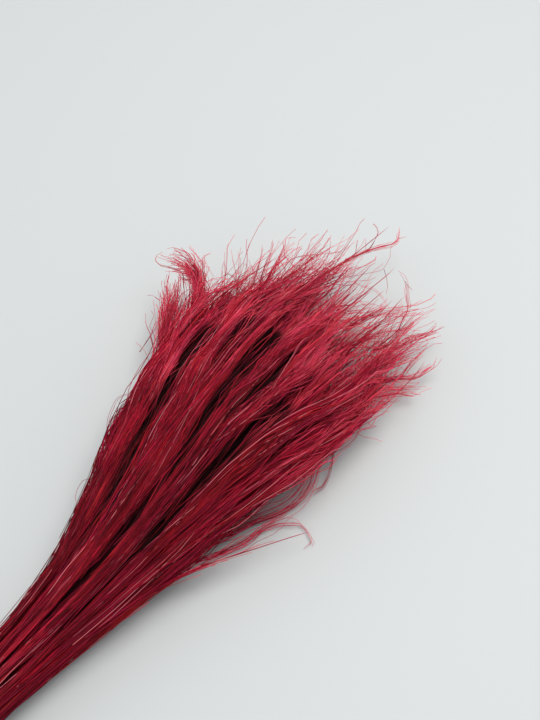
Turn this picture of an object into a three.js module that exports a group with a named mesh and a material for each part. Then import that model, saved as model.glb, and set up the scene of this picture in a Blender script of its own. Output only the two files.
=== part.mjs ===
// A bundle of dyed feather grass, lying on a flat surface.
// It is made of separate stalks, each one stem with its soft plume, laid in layers
// and held together by one flat rubber band wound round the stems.
// Millimetres. +X runs from the cut stem ends to the plume tips, +Y lies across the
// bundle, +Z is up, and the surface that it lies on is z = 0.
import * as THREE from "three";

const { lerp, smoothstep } = THREE.MathUtils;

// Stalks in each layer, from the layer that lies on the surface to the top one.
const layerCounts = [3, 6, 7, 8, 7, 8, 7, 6, 3];
const layerRise = Math.sqrt(3) / 2; // height of a layer over the distance of its stalks, packed tight

// Places along the bundle
const cutEndX = -260; // the cut stem ends
const cutEndStagger = 14; // the stems are cut this much apart
const bandX = -80; // middle of the rubber band
const flareStartX = -60; // the stalks start to fan out
const plumeStartX = -30; // the stems turn into plumes
const droopStartX = 61; // the sides of the fan start to hang
const crownX = 110; // the fan is at its highest
const leanEndX = 170; // the head has leant over sideways
const shoulderX = 184; // the fan is at its widest
const tipX = 237; // where most middle plumes end
const longTipX = 266; // end of the one plume that stands out

// Stems and rubber band
const stemRadius = 1.4;
const stemClearance = 0.6; // between neighbouring stems inside the band
const cutEndSplay = 0.9; // the stems stand this much further apart at the cut ends
const bandWidth = 7;
const bandThickness = 1.2;
const bandClearance = 0.3;
const bandMargin = 3; // the stems stay straight this far past each edge of the band
const liftRun = 75; // the band lifts the stems off the surface over this length

// The fan of plumes
const headPitch = 15; // distance of neighbouring plumes across the fan
const headRise = 5.7; // height of a layer in the fan
const tipRise = 4.1; // height of a layer at the tips
const sideDroop = 0.45; // share of its height that the side of the fan loses at the tips
const headLean = 20; // the whole head leans this far to +Y
const plumeFill = 0.34; // half width of a plume over the distance to its neighbour
const plumeGrowth = 110; // length over which a stem widens to its full plume
const plumeClearance = 0.3;
const tipThickness = 0.8; // half width of a plume at its very tip
const tipTaper = 95; // length over which a plume thins to its tip
const tipStagger = 26; // plumes of one layer end up to this much apart
const leftCut = 36; // the plumes at the +Y side end this much sooner
const rightCut = 12; // and those at the -Y side

// Each stalk snakes a little, and starts to do so this far from the band.
const snakeRun = 50;
const snakeLengthAcross = 230;
const snakeLengthUp = 190;

// Single plumes that leave the fan, by layer and place: sideways travel, where it starts,
// where the plume ends, and the share of its height that it comes down by.
const strays = new Map([
  ["5:7", { aside: 27, from: 105, tip: 184 }],
  ["3:7", { aside: 10, from: 70, tip: 186 }],
  ["3:0", { aside: -24, from: 28, tip: 98, down: 0.75 }],
]);
const strayRun = 25; // a stray would have travelled its whole way this far past its tip
const longPlume = "5:4";

// Facets of a stalk
const stationStep = 38;
const shortestStep = 1; // no ring stands closer than this to a stalk's end
const sides = 6; // corners of a stalk's cross-section, one flat side down

// The same value between 0 and 1 for the same stalk and purpose.
function chance(stalk, purpose) {
  const stalkTurn = 127.1;
  const purposeTurn = 311.7;
  const scatter = 43758.5453;
  const value = Math.sin(stalk * stalkTurn + purpose * purposeTurn) * scatter;
  return value - Math.floor(value);
}

const flatShare = Math.cos(Math.PI / sides); // from a stalk's middle to its flat side, over its radius
const bandPitch = 2 * stemRadius + stemClearance;
const bandBelow = bandThickness + bandClearance + stemRadius * (1 - flatShare); // band under the lowest stems
const bandHalfSpan = bandWidth / 2 + bandMargin;
const widest = (Math.max(...layerCounts) - 1) / 2;

// Cross-section of the whole bundle at x: distances of the cells that hold the stalks.
function section(x) {
  const fan = smoothstep(x, flareStartX, shoulderX);
  const rise = smoothstep(x, flareStartX, crownX);
  const thin = smoothstep(x, crownX, tipX);
  const splay = cutEndSplay * smoothstep(bandX - bandHalfSpan - x, 0, bandX - cutEndX);
  const headUp = lerp(headRise, tipRise, thin) / layerRise;
  const fromBand = Math.abs(x - bandX) - bandHalfSpan;
  return {
    across: lerp(bandPitch, headPitch, fan) + splay,
    up: lerp(bandPitch, headUp, rise) + splay,
    lean: headLean * smoothstep(x, 0, leanEndX),
    droop: sideDroop * smoothstep(x, droopStartX, tipX),
    lift: bandBelow * (1 - smoothstep(fromBand, 0, liftRun)),
    free: smoothstep(fromBand, 0, snakeRun),
  };
}

// Half width across and half height of a stalk's cross-section at x.
function thickness(x, end, cell) {
  const grown = smoothstep(x, plumeStartX, plumeStartX + plumeGrowth);
  const left = 1 - smoothstep(x, end - tipTaper, end);
  const across = lerp(stemRadius, plumeFill * cell.across, grown);
  const up = lerp(stemRadius, plumeFill * cell.up, grown);
  return {
    across: lerp(tipThickness, across, left),
    up: Math.min(lerp(tipThickness, up, left), up),
  };
}

// Centre and half widths of one stalk at x, before the sides of the fan hang.
// A stalk snakes only inside its own cell.
function stalkAt(x, stalk) {
  const { stray, layer, u } = stalk;
  const cell = section(x);
  const half = thickness(x, stalk.end, cell);
  const share = Math.max(half.across / cell.across, half.up / cell.up);
  const gap = plumeClearance / Math.min(cell.across, cell.up);
  const room = (Math.max(0, 0.5 - share - gap) * cell.free) / Math.SQRT2;
  const snake = (phase, length) => room * Math.sin(2 * Math.PI * (x / length + phase));
  const snakeY = snake(stalk.phaseY, snakeLengthAcross);
  const snakeZ = layer === 0 ? 0 : snake(stalk.phaseZ, snakeLengthUp);
  const lowest = layer === 0 ? half.up * flatShare : thickness(x, tipX, cell).up;
  const gone = stray ? smoothstep(x, stray.from, stray.tip + strayRun) : 0;
  const height = (layer * layerRise + snakeZ) * cell.up * (1 - gone * (stray?.down ?? 0));
  return {
    x,
    y: (u + snakeY) * cell.across + cell.lean + gone * (stray?.aside ?? 0),
    z: lowest + height,
    half,
  };
}

// A point of the bundle in its place: the sides of the fan hang, and the band lifts the stems.
// The whole section hangs as one, so that what was apart stays apart.
function settle(x, y, z) {
  const { across, lean, droop, lift } = section(x);
  const aside = Math.min(1, Math.abs(y - lean) / (widest * across));
  return [x, y, lift + z * (1 - droop * aside ** 2)];
}

// All stalks, with the place of each in its layer and where it starts and ends.
function layOut() {
  const stalks = [];
  layerCounts.forEach((count, layer) => {
    for (let place = 0; place < count; place++) {
      const n = stalks.length;
      const u = place - (count - 1) / 2;
      const key = layer + ":" + place;
      const stray = strays.get(key);
      const cut = (u / widest) ** 2 * (u > 0 ? leftCut : rightCut);
      const usualEnd = tipX - cut - tipStagger * chance(n, 1);
      stalks.push({
        layer,
        u,
        stray,
        start: cutEndX + cutEndStagger * chance(n, 2),
        end: key === longPlume ? longTipX : (stray?.tip ?? usualEnd),
        phaseY: chance(n, 3),
        phaseZ: chance(n, 4),
      });
    }
  });
  return stalks;
}

// Stations that all stalks share. They reach past both ends of every stalk.
function sharedStations() {
  const stations = [cutEndX, (cutEndX + bandX) / 2, bandX - bandHalfSpan];
  const farEnd = Math.max(tipX, longTipX);
  let x = bandX + bandHalfSpan;
  while (x < farEnd) {
    stations.push(x);
    x += stationStep;
  }
  return [...stations, x];
}

// Rings of one stalk: one at each shared station between its two ends, and one at each end.
// An end stands on the straight line between the shared stations beside it, so that it
// keeps its distance to the neighbours, which run straight there.
function ringsOf(stalk, shared) {
  const endRing = (x) => {
    const next = shared.findIndex((station) => station >= x && station > shared[0]);
    const low = stalkAt(shared[next - 1], stalk);
    const high = stalkAt(shared[next], stalk);
    const way = (x - low.x) / (high.x - low.x);
    const { half } = stalkAt(x, stalk);
    return { x, y: lerp(low.y, high.y, way), z: lerp(low.z, high.z, way), half };
  };
  const first = stalk.start + shortestStep;
  const last = stalk.end - shortestStep;
  const inner = shared.filter((x) => x > first && x < last).map((x) => stalkAt(x, stalk));
  return [endRing(stalk.start), ...inner, endRing(stalk.end)];
}

// One stalk is a closed cylinder whose rings are moved to their places.
function stalkGeometry(stalk, shared) {
  const rings = ringsOf(stalk, shared);
  const steps = rings.length - 1;
  const geometry = new THREE.CylinderGeometry(1, 1, 1, sides, steps, false, Math.PI / sides);
  geometry.rotateZ(-Math.PI / 2);
  const at = geometry.getAttribute("position");
  for (let i = 0; i < at.count; i++) {
    const { x, y, z, half } = rings[Math.round((at.getX(i) + 0.5) * steps)];
    at.setXYZ(i, ...settle(x, y + at.getY(i) * half.across, z + at.getZ(i) * half.up));
  }
  return geometry;
}

// Convex hull of 2D points, counter-clockwise.
function hullOf(points) {
  const straightEnough = 1e-6;
  const sorted = [...points].sort((a, b) => a.x - b.x || a.y - b.y);
  const half = (list) => {
    const chain = [];
    for (const p of list) {
      while (chain.length > 1) {
        const [a, b] = chain.slice(-2);
        const turn = (b.x - a.x) * (p.y - a.y) - (b.y - a.y) * (p.x - a.x);
        if (turn > straightEnough) break;
        chain.pop();
      }
      chain.push(p);
    }
    return chain.slice(0, -1);
  };
  return [...half(sorted), ...half(sorted.reverse())];
}

// A line drawn round the hull at a distance, with a round arc at each corner.
function lineAround(hull, distance, path) {
  hull.forEach((corner, i) => {
    const before = hull.at(i - 1);
    const after = hull[(i + 1) % hull.length];
    const start = Math.atan2(corner.y - before.y, corner.x - before.x) - Math.PI / 2;
    const end = Math.atan2(after.y - corner.y, after.x - corner.x) - Math.PI / 2;
    path.absarc(corner.x, corner.y, distance, start, end < start ? end + 2 * Math.PI : end, false);
  });
  return path;
}

// The rubber band follows the outline of the packed stems.
function bandGeometry(stalks) {
  const arcSteps = 3;
  const stems = stalks.map((stalk) => stalkAt(bandX, stalk)).map(({ x, y, z }) => settle(x, y, z));
  const hull = hullOf(stems.map(([, y, z]) => new THREE.Vector2(y, z)));
  const inside = stemRadius + bandClearance;
  const outline = lineAround(hull, inside + bandThickness, new THREE.Shape());
  outline.holes.push(lineAround(hull, inside, new THREE.Path()));
  const geometry = new THREE.ExtrudeGeometry(outline, {
    depth: bandWidth,
    bevelEnabled: false,
    curveSegments: arcSteps,
  });
  // The outline's x is the bundle's Y and its y is Z, so the extrusion runs along X.
  const across = new THREE.Vector3(0, 1, 0);
  const up = new THREE.Vector3(0, 0, 1);
  const along = new THREE.Vector3(1, 0, 0);
  geometry.applyMatrix4(new THREE.Matrix4().makeBasis(across, up, along));
  geometry.translate(bandX - bandWidth / 2, 0, 0);
  return geometry;
}

const grass = new THREE.MeshStandardMaterial({ color: 0x7c1426, roughness: 0.75, metalness: 0 });
const rubber = new THREE.MeshStandardMaterial({ color: 0xb08a5a, roughness: 0.6, metalness: 0 });

const bundle = new THREE.Group();
const stalks = layOut();
const shared = sharedStations();

stalks.forEach((stalk, n) => {
  const mesh = new THREE.Mesh(stalkGeometry(stalk, shared), grass);
  mesh.name = "stalk_" + String(n + 1).padStart(2, "0");
  bundle.add(mesh);
});

const band = new THREE.Mesh(bandGeometry(stalks), rubber);
band.name = "rubber_band";
bundle.add(band);

// The origin is the middle of the bundle's box, on the surface that it lies on.
const box = new THREE.Box3().setFromObject(bundle, true);
const middle = box.getCenter(new THREE.Vector3());
bundle.position.set(-middle.x, -middle.y, -box.min.z);

export default bundle;
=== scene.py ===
import bpy
import math
import random
import numpy as np
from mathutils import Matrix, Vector


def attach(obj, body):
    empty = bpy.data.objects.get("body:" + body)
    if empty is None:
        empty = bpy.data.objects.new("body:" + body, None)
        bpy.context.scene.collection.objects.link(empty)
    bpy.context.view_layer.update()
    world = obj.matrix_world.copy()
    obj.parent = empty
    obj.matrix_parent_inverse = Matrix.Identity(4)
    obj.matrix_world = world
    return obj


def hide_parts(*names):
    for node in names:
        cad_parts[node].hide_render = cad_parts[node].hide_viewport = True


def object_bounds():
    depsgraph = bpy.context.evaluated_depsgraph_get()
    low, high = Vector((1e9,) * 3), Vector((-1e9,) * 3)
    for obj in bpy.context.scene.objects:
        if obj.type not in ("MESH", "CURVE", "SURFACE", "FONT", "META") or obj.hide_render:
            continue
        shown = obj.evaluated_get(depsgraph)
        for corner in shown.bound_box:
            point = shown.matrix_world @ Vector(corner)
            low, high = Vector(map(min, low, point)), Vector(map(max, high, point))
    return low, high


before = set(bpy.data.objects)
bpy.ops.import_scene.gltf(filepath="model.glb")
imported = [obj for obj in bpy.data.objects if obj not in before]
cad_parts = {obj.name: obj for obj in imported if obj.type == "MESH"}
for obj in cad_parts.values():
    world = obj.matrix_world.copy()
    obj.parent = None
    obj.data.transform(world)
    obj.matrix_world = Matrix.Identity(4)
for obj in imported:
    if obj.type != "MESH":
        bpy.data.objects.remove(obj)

cadBox = [list(corner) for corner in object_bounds()]
millimetre = 0.001


def addObject(name, data):
    made = bpy.data.objects.new(name, data)
    bpy.context.collection.objects.link(made)
    return made


# Camera, floor and light

cameraSetup = {
    "lookAt": (0.1477, -0.00755, 0.025),
    "azimuth": -49.2,  # degrees, 0 looks along +Y
    "elevation": 55,  # degrees above the floor
    "distance": 0.5,
    "lens": 50,
}
lightSetup = {
    "keySize": 1.0,
    "keyPower": 13.5,
    "keyFrom": (0.55, -0.12, 1.3),
    "keyColour": (1.0, 0.98, 0.95),
    "fillSize": 1.6,
    "fillPower": 5,
    "fillFrom": (-0.8, 0.9, 0.9),
    "fillColour": (0.95, 0.98, 1.0),
    "sky": 0.66,
    "skyColour": (0.93, 0.97, 1.0, 1),
}
floorSetup = {
    "size": 12,
    "colour": (0.55, 0.565, 0.565, 1),
    "roughness": 0.55,
}


def makeCamera():
    data = bpy.data.cameras.new("camera")
    camera = addObject("camera", data)
    turn = math.radians(cameraSetup["azimuth"])
    rise = math.radians(cameraSetup["elevation"])
    back = Vector((math.sin(turn) * math.cos(rise), -math.cos(turn) * math.cos(rise), math.sin(rise)))
    camera.location = Vector(cameraSetup["lookAt"]) + back * cameraSetup["distance"]
    camera.rotation_mode = "QUATERNION"
    camera.rotation_quaternion = (-back).to_track_quat("-Z", "Y")
    data.lens = cameraSetup["lens"]
    data.sensor_width = 36
    data.clip_start = 0.01
    bpy.context.scene.camera = camera


def makeAreaLight(name):
    data = bpy.data.lights.new(name + "Light", "AREA")
    data.shape = "DISK"
    data.size = lightSetup[name + "Size"]
    data.energy = lightSetup[name + "Power"]
    data.color = lightSetup[name + "Colour"]
    light = addObject(name + "Light", data)
    light.location = lightSetup[name + "From"]
    aim = Vector(cameraSetup["lookAt"]) - light.location
    light.rotation_mode = "QUATERNION"
    light.rotation_quaternion = aim.to_track_quat("-Z", "Y")


def makeStudio():
    makeAreaLight("key")
    makeAreaLight("fill")
    world = bpy.data.worlds.new("sky")
    world.use_nodes = True
    background = world.node_tree.nodes["Background"]
    background.inputs["Color"].default_value = lightSetup["skyColour"]
    background.inputs["Strength"].default_value = lightSetup["sky"]
    bpy.context.scene.world = world
    bpy.context.scene.view_settings.view_transform = "Standard"
    bpy.ops.mesh.primitive_plane_add(size=floorSetup["size"], location=(0, 0, 0))
    floor = bpy.context.object
    floor.name = "floor"
    material = bpy.data.materials.new("paleFloor")
    material.use_nodes = True
    shader = material.node_tree.nodes["Principled BSDF"]
    shader.inputs["Base Color"].default_value = floorSetup["colour"]
    shader.inputs["Roughness"].default_value = floorSetup["roughness"]
    floor.data.materials.append(material)


makeCamera()
makeStudio()
print("camera, floor and light are set")


# Helpers for node trees

def newTree(name, kind, inputs, outputs):
    tree = bpy.data.node_groups.new(name, kind)
    for label, (socketType, value) in inputs.items():
        socket = tree.interface.new_socket(name=label, in_out="INPUT", socket_type=socketType)
        if value is not None:
            socket.default_value = value
    for label, socketType in outputs.items():
        tree.interface.new_socket(name=label, in_out="OUTPUT", socket_type=socketType)
    return tree


def socketOf(sockets, key):
    inUse = [socket for socket in sockets if socket.enabled]
    if isinstance(key, int):
        return inUse[key]
    return next(socket for socket in inUse if socket.name == key)


class Builder:
    # Adds nodes to one tree. A value given for an input is a socket to link or a constant.

    def __init__(self, tree):
        self.tree = tree

    def put(self, kind, inputs=None, **settings):
        made = self.tree.nodes.new(kind)
        for setting, value in settings.items():
            setattr(made, setting, value)
        for key, value in (inputs or {}).items():
            socket = socketOf(made.inputs, key)
            if isinstance(value, bpy.types.NodeSocket):
                self.tree.links.new(value, socket)
            else:
                socket.default_value = value
        return made

    def get(self, kind, output, inputs=None, **settings):
        return socketOf(self.put(kind, inputs, **settings).outputs, output)

    def geo(self, kind, inputs=None, **settings):
        return self.get("GeometryNode" + kind, 0, inputs, **settings)

    def maths(self, operation, *values):
        return self.get("ShaderNodeMath", 0, dict(enumerate(values)), operation=operation)

    def vectors(self, operation, *values):
        return self.get("ShaderNodeVectorMath", 0, dict(enumerate(values)), operation=operation)

    def plus(self, one, other):
        return self.maths("ADD", one, other)

    def minus(self, one, other):
        return self.maths("SUBTRACT", one, other)

    def times(self, one, other):
        return self.maths("MULTIPLY", one, other)

    def moved(self, place, way):
        return self.vectors("ADD", place, way)

    def scaled(self, vector, factor):
        inputs = {0: vector, "Scale": factor}
        return self.get("ShaderNodeVectorMath", 0, inputs, operation="SCALE")

    def xyz(self, x, y, z):
        return self.get("ShaderNodeCombineXYZ", 0, {0: x, 1: y, 2: z})

    def ramp(self, value, low, high, lowValue=0.0, highValue=1.0):
        inputs = {"Value": value, "From Min": low, "From Max": high, "To Min": lowValue, "To Max": highValue}
        return self.get("ShaderNodeMapRange", 0, inputs, interpolation_type="SMOOTHSTEP")

    def attribute(self, name, dataType):
        return self.geo("InputNamedAttribute", {"Name": name}, data_type=dataType)

    def store(self, geometry, name, value, dataType):
        inputs = {"Geometry": geometry, "Name": name, "Value": value}
        return self.geo("StoreNamedAttribute", inputs, data_type=dataType, domain="POINT")


def tubeOf(b, curve, radius, sides, caps=True):
    profile = b.geo("CurvePrimitiveCircle", {"Resolution": sides, "Radius": 1.0})
    inputs = {"Curve": curve, "Profile Curve": profile, "Scale": radius, "Fill Caps": caps}
    return b.geo("CurveToMesh", inputs)


# One stalk: its stem, the threads of its leaves and the awns of its plume. Strands belong to
# tufts, and tufts to locks. Lengths and widths are in metres, shares from 0 to 1.

stalkSetup = {
    "stemRadius": 1.0 * millimetre,
    "stemTipShare": 0.2,  # what is left of the stem's radius at its tip
    "stemSteps": 64,
    "stemSides": 8,
    "stemThinsFrom": 0.3,  # share of the stem's length
    "highestTone": 0.92,  # higher tones are kept for pale and orange threads
    "firstSeed": 5,
    "seedStep": 13,
    "pathStep": 8 * millimetre,
    "plumeTipShare": 0.6,  # a plume stays at least this full towards its tip
    "floor": 0.4 * millimetre,
    "ceiling": 8 * millimetre,  # the awns stand at most this far above the frame's box
    "awnInputs": {
        "Strands": 288,
        "Steps": 18,
        "Tufts": 24,
        "Locks": 3,
        "Shortest": 0.09,
        "Longest": 0.235,
        "Ends Before": 0.095,
        "Ends After": 0.016,
        "End Bias": 0.38,
        "Ragged": 0.014,
        "Radius": 0.0002,
        "Tip Share": 0.65,
        "Thick Gain": 0.7,
        "Opens From": 0.21,
        "Opens Full": 0.41,
        "Core": 0.0,  # strands stay this far from the middle of their path
        "Lock Spread": 1.9,
        "Lock Width": 0.0023,
        "Tuft Width": 0.0010,
        "Wave": 0.015,
        "Wave Length": 0.055,
        "Curl": 0.017,
        "Curl Length": 0.026,
        "Frizz": 0.007,
        "Frizz Length": 0.013,
        "Hook": 0.024,
        "Splay": 0.016,
        "Strays": 0.22,
        "Stray Gain": 1.5,
        "Stray Wave": 0.028,
        "Stray Length": 0.06,
        "Loose Length": 0.075,
    },
    "threadInputs": {
        "Strands": 26,
        "Steps": 25,
        "Tufts": 26,
        "Locks": 6,
        "Shortest": 0.2,
        "Longest": 0.40,
        "Ends Before": 0.30,
        "Ends After": -0.06,
        "End Bias": 1.0,
        "Ragged": 0.02,
        "Radius": 0.00027,
        "Tip Share": 0.4,
        "Thick Gain": 1.4,
        "Opens From": 0.16,
        "Opens Full": 0.34,
        "Core": 0.0009,
        "Lock Spread": 1.0,
        "Lock Width": 0.0008,
        "Tuft Width": 0.0003,
        "Wave": 0.006,
        "Wave Length": 0.05,
        "Curl": 0.004,
        "Curl Length": 0.05,
        "Frizz": 0.002,
        "Frizz Length": 0.05,
        "Hook": 0.0,
        "Splay": 0.01,
        "Strays": 0.15,
        "Stray Gain": 1.0,
        "Stray Wave": 0.010,
        "Stray Length": 0.1,
        "Loose Length": 0.2,
    },
}


strandShape = {
    "crowdedTips": 1.35,  # a strand's points stand closer at its tip
    "lengths": (0.8, 1.15),  # of the strands of a tuft, as shares of its length
    "ragged": (-1.0, 0.35),  # how much earlier and later a strand may end than its tuft
    "start": 10 * millimetre,  # no strand lies wholly before this point of the path
    "closed": 0.3,  # how far the locks are open before they leave the stem
    "closing": (0.35, 1.0),  # shares of a strand's length between which a tuft draws closer
    "tips": 0.6,  # how far a tuft's strands still lie apart at their tips
    "drift": (0.15, 0.95),  # shares of the length between which a lock changes its side
    "held": 0.12,  # how loose the strands are before the end of the path
    "lateness": 1.6,  # the higher, the later a strand starts to curl
    "tipFrom": (0.68, 1.05),  # shares of the length between which hooks and splay set in
    "tipBend": 1.5,
    "swing": (1.0, 1.0, 0.7),  # waves are flatter than they are wide
    "lowest": 0.9 * millimetre,  # the lowest strands lie on each other, not all on one plane
    "highest": 2 * millimetre,  # the same below the ceiling
    "settle": 2 * millimetre,  # how softly strands bend away from floor and ceiling
    "thin": 0.75,  # the least thickness, as a share of the radius
    "thickFew": 4.0,  # the higher, the fewer strands are thick
    "taperFrom": 0.6,
    "sides": 3,
}


def strandSockets(prefix, values):
    kinds = {int: "NodeSocketInt", float: "NodeSocketFloat"}
    return {prefix + label: (kinds[type(value)], value) for label, value in values.items()}


def makeStrandTree():
    inputs = {"Path": ("NodeSocketGeometry", None), "Seed": ("NodeSocketInt", 1)}
    inputs["Floor"] = ("NodeSocketFloat", stalkSetup["floor"])
    inputs["Ceiling"] = ("NodeSocketFloat", stalkSetup["ceiling"])
    inputs.update(strandSockets("", stalkSetup["awnInputs"]))
    tree = newTree("strandsOnPath", "GeometryNodeTree", inputs, {"Strands": "NodeSocketGeometry"})
    b = Builder(tree)
    given = b.put("NodeGroupInput").outputs
    shape = strandShape

    def chance(low, high, owner, salt):
        # salt sets one random choice apart from the others
        seed = b.plus(given["Seed"], float(salt))
        inputs = {"Min": low, "Max": high, "ID": owner, "Seed": seed}
        return b.get("FunctionNodeRandomValue", 0, inputs, data_type="FLOAT")

    def onDisc(owner, salt):
        turn = chance(0.0, 2 * math.pi, owner, salt)
        out = b.maths("SQRT", chance(0.0, 1.0, owner, salt + 1))
        across = b.times(b.maths("COSINE", turn), out)
        up = b.times(b.maths("SINE", turn), out)
        return b.xyz(0.0, across, up)

    def aside(owner, salt):
        chances = [chance(-0.5, 0.5, owner, salt + i) for i in range(3)]
        return b.xyz(*chances)

    def wander(position, length, owner, spacing):
        # a smooth noise along the path; spacing sets one owner's noise apart from the next one's
        place = b.xyz(b.maths("DIVIDE", position, length), b.times(owner, spacing), given["Seed"])
        inputs = {"Vector": place, "Scale": 1.0, "Detail": 1.0}
        colour = b.get("ShaderNodeTexNoise", "Color", inputs, noise_dimensions="3D")
        return b.vectors("SUBTRACT", colour, (0.5, 0.5, 0.5))

    def grown(vector, *factors):
        for factor in factors:
            vector = b.scaled(vector, factor)
        return vector

    # straight lines, one for each strand
    line = b.geo("CurvePrimitiveLine")
    line = b.geo("ResampleCurve", {"Curve": line, "Count": given["Steps"]}, mode="COUNT")
    points = b.geo("Points", {"Count": given["Strands"]})
    lines = b.geo("InstanceOnPoints", {"Points": points, "Instance": line})
    lines = b.geo("RealizeInstances", {"Geometry": lines})
    toTip = b.minus(1.0, b.get("GeometryNodeSplineParameter", "Factor"))
    dense = b.minus(1.0, b.maths("POWER", toTip, shape["crowdedTips"]))
    lines = b.store(lines, "along", dense, "FLOAT")
    lines = b.store(lines, "strand", b.get("GeometryNodeCurveOfPoint", "Curve Index"), "INT")
    along = b.attribute("along", "FLOAT")
    strand = b.attribute("strand", "INT")

    # strands belong to tufts, and tufts to locks
    tuft = b.maths("FLOOR", chance(0.0, given["Tufts"], strand, 0))
    lock = b.maths("FLOOR", chance(0.0, given["Locks"], tuft, 1))

    # where each point stands along the path
    length = chance(given["Shortest"], given["Longest"], tuft, 2)
    length = b.times(length, chance(*shape["lengths"], strand, 3))
    pathLength = b.geo("CurveLength", {"Curve": given["Path"]})
    missing = b.maths("POWER", chance(0.0, 1.0, tuft, 4), given["End Bias"])
    missing = b.times(missing, b.plus(given["Ends Before"], given["Ends After"]))
    end = b.minus(b.plus(pathLength, given["Ends After"]), missing)
    ragged = b.times(given["Ragged"], chance(*shape["ragged"], strand, 5))
    end = b.plus(end, ragged)
    toGo = b.times(length, b.minus(1.0, along))
    at = b.maths("MAXIMUM", b.minus(end, toGo), b.times(along, shape["start"]))
    past = b.maths("MAXIMUM", b.minus(at, pathLength), 0.0)
    sample = b.put("GeometryNodeSampleCurve", {
        "Curves": given["Path"],
        "Value": b.attribute("halfWidths", "FLOAT_VECTOR"),
        "Length": b.maths("MINIMUM", at, pathLength),
    }, data_type="FLOAT_VECTOR", mode="LENGTH", use_all_curves=True)
    halfWidths = socketOf(sample.outputs, "Value")
    ahead = b.scaled(socketOf(sample.outputs, "Tangent"), past)
    centre = b.moved(socketOf(sample.outputs, "Position"), ahead)

    # a lock leaves the path and drifts from one side of it to another
    opened = b.ramp(at, given["Opens From"], given["Opens Full"], shape["closed"], 1.0)
    closer = b.ramp(along, *shape["closing"], 1.0, shape["tips"])
    drift = b.ramp(along, *shape["drift"])
    lockOut = b.moved(b.scaled(onDisc(lock, 10), b.minus(1.0, drift)),
                        b.scaled(onDisc(lock, 12), drift))
    out = b.vectors("MULTIPLY", grown(lockOut, opened, given["Lock Spread"]), halfWidths)
    out = b.moved(out, grown(onDisc(tuft, 20), opened, closer, given["Lock Width"]))
    out = b.moved(out, grown(onDisc(strand, 22), opened, closer, given["Tuft Width"]))
    place = b.moved(centre, out)

    # waves that a lock shares, curls that a tuft shares, fine frizz and splayed tips
    isStray = b.maths("LESS_THAN", chance(0.0, 1.0, strand, 30), given["Strays"])
    gain = b.plus(1.0, b.times(isStray, given["Stray Gain"]))
    # only near the end of the path do the strands come loose
    looseFrom = b.minus(pathLength, given["Loose Length"])
    loose = b.ramp(at, looseFrom, pathLength, shape["held"], 1.0)
    late = b.times(b.maths("POWER", along, shape["lateness"]), loose)
    tipOnly = b.maths("POWER", b.ramp(along, *shape["tipFrom"]), shape["tipBend"])
    tipOnly = b.times(tipOnly, loose)
    swings = (
        grown(wander(at, given["Wave Length"], lock, 7.31), opened, given["Wave"]),
        grown(wander(at, given["Curl Length"], tuft, 5.17), late, given["Curl"]),
        grown(wander(at, given["Frizz Length"], strand, 3.17), late, gain, given["Frizz"]),
        grown(wander(at, given["Stray Length"], strand, 9.73), opened, isStray, given["Stray Wave"]),
        grown(aside(tuft, 40), tipOnly, given["Hook"]),
        grown(aside(strand, 44), tipOnly, gain, given["Splay"]),
    )
    for swing in swings:
        place = b.moved(place, b.vectors("MULTIPLY", swing, shape["swing"]))

    # threads lie on their stem, not inside it
    away = b.vectors("SUBTRACT", place, centre)
    reach = b.get("ShaderNodeVectorMath", "Value", {0: away}, operation="LENGTH")
    reach = b.maths("MAXIMUM", reach, 0.1 * millimetre)
    outward = b.maths("MAXIMUM", b.maths("DIVIDE", given["Core"], reach), 1.0)
    place = b.moved(centre, b.scaled(away, outward))

    # nothing sinks into the surface below or stands up too high
    parts = b.put("ShaderNodeSeparateXYZ", {0: place}).outputs
    lowest = b.plus(given["Floor"], chance(0.0, shape["lowest"], strand, 50))
    highest = b.minus(given["Ceiling"], chance(0.0, shape["highest"], strand, 51))
    height = b.maths("SMOOTH_MAX", parts[2], lowest, shape["settle"])
    height = b.maths("SMOOTH_MIN", height, highest, shape["settle"])
    place = b.xyz(parts[0], parts[1], height)
    strands = b.geo("SetPosition", {"Geometry": lines, "Position": place})

    # a strand thins to its tip
    tone = chance(0.0, 1.0, strand, 70)
    thick = b.maths("POWER", b.minus(1.0, tone), shape["thickFew"])
    thick = b.times(thick, given["Thick Gain"])
    thick = b.times(given["Radius"], b.plus(shape["thin"], thick))
    taper = b.ramp(along, shape["taperFrom"], 1.0, 1.0, given["Tip Share"])
    strands = b.store(strands, "tone", tone, "FLOAT")
    strands = b.store(strands, "lockTone", chance(0.0, 1.0, tuft, 80), "FLOAT")
    radius = b.times(thick, taper)
    b.put("NodeGroupOutput", {"Strands": tubeOf(b, strands, radius, shape["sides"])})
    return tree


strandTree = makeStrandTree()


# rings of a cut end: how far inside the stem, and the share of the stem's radius
cutRings = [(2.4 * millimetre, 0.02), (2.2 * millimetre, 0.4), (0.05 * millimetre, 0.5), (0.0, 1.0)]


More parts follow.
